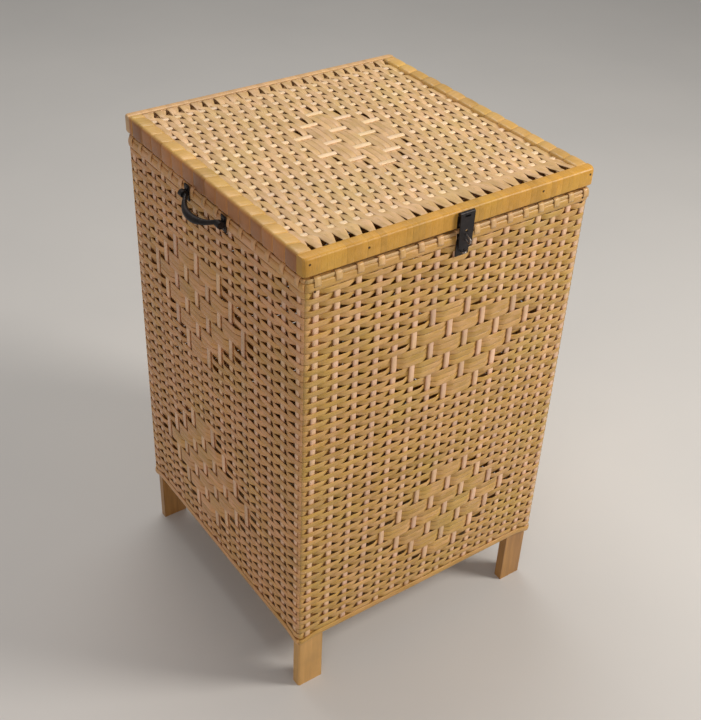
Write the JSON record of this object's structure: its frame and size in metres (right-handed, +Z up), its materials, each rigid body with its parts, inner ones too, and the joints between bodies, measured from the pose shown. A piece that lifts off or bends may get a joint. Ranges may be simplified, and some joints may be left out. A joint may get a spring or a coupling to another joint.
{
  "type": "laundry hamper",
  "caption": "Square woven cane laundry hamper on four short board legs, with a hinged woven lid, a front hasp and a bow handle on each side.",
  "frame": {"origin": "on the floor, at the middle of the footprint", "axes": "+Z up, -Y is the front with the hasp, +Y the back with the hinges, handles at -X and +X"},
  "size_m": [0.4236, 0.4014, 0.625],
  "materials": {
    "lacquered_wood": "satin lacquer",
    "frame_wood": "plain sawn",
    "base_plywood": "plain",
    "woven_cane": "varnished split cane",
    "cane_binding": "varnished split cane",
    "black_iron": "worn black",
    "bright_wire": "plain wire",
    "screw_steel": "dulled",
    "nail_steel": "tarnished"
  },
  "bodies": {
    "hamper_body": {"base_board": "base_plywood", "bottom_rail_back": "frame_wood", "bottom_rail_front": "frame_wood", "bottom_rail_left": "frame_wood", "bottom_rail_right": "frame_wood", "handle_clips_left": "black_iron", "handle_clips_right": "black_iron", "handle_screws_left": "screw_steel", "handle_screws_right": "screw_steel", "hasp_keeper": "black_iron", "hasp_keeper_screws": "screw_steel", "hasp_staple": "bright_wire", "hinge_body_leaf_left": "black_iron", "hinge_body_leaf_right": "black_iron", "hinge_body_screws": "screw_steel", "hinge_pins": "black_iron", "leg_post_back_left": "lacquered_wood", "leg_post_back_right": "lacquered_wood", "leg_post_front_left": "lacquered_wood", "leg_post_front_right": "lacquered_wood", "rim_nails": "nail_steel", "rim_strip_back": "cane_binding", "rim_strip_front": "cane_binding", "rim_strip_left": "cane_binding", "rim_strip_right": "cane_binding", "top_rail_back": "frame_wood", "top_rail_front": "frame_wood", "top_rail_left": "frame_wood", "top_rail_right": "frame_wood", "woven_panel_back": "woven_cane", "woven_panel_front": "woven_cane", "woven_panel_left": "woven_cane", "woven_panel_right": "woven_cane"},
    "lid": {"hasp_leaf": "black_iron", "hasp_leaf_screws": "screw_steel", "hasp_pin": "black_iron", "hinge_lid_leaf_left": "black_iron", "hinge_lid_leaf_right": "black_iron", "hinge_lid_screws": "screw_steel", "lid_binding_back": "cane_binding", "lid_binding_front": "cane_binding", "lid_binding_left": "cane_binding", "lid_binding_right": "cane_binding", "lid_nails": "nail_steel", "lid_rail_back": "frame_wood", "lid_rail_front": "frame_wood", "lid_rail_left": "frame_wood", "lid_rail_right": "frame_wood", "lid_woven_panel": "woven_cane"},
    "hasp_strap": {"hasp_strap": "black_iron", "hasp_eye": "bright_wire"},
    "handle_left": {"handle_bail_left": "black_iron"},
    "handle_right": {"handle_bail_right": "black_iron"}
  },
  "joints": [
    {"name": "lid_hinge", "type": "hinge", "parent": "hamper_body", "child": "lid", "pos_m": [0, 0.1941, 0.602], "axis": [-1, 0, 0], "range_deg": [0, 180]},
    {"name": "hasp_swing", "type": "hinge", "parent": "lid", "child": "hasp_strap", "pos_m": [0.0055, -0.1933, 0.622], "axis": [-1, 0, 0], "range_deg": [0, 165]},
    {"name": "handle_left_swing", "type": "hinge", "parent": "hamper_body", "child": "handle_left", "pos_m": [-0.1945, 0, 0.592], "axis": [0, 1, 0], "range_deg": [-63, 113]},
    {"name": "handle_right_swing", "type": "hinge", "parent": "hamper_body", "child": "handle_right", "pos_m": [0.1945, 0, 0.592], "axis": [0, -1, 0], "range_deg": [-63, 113]}
  ]
}
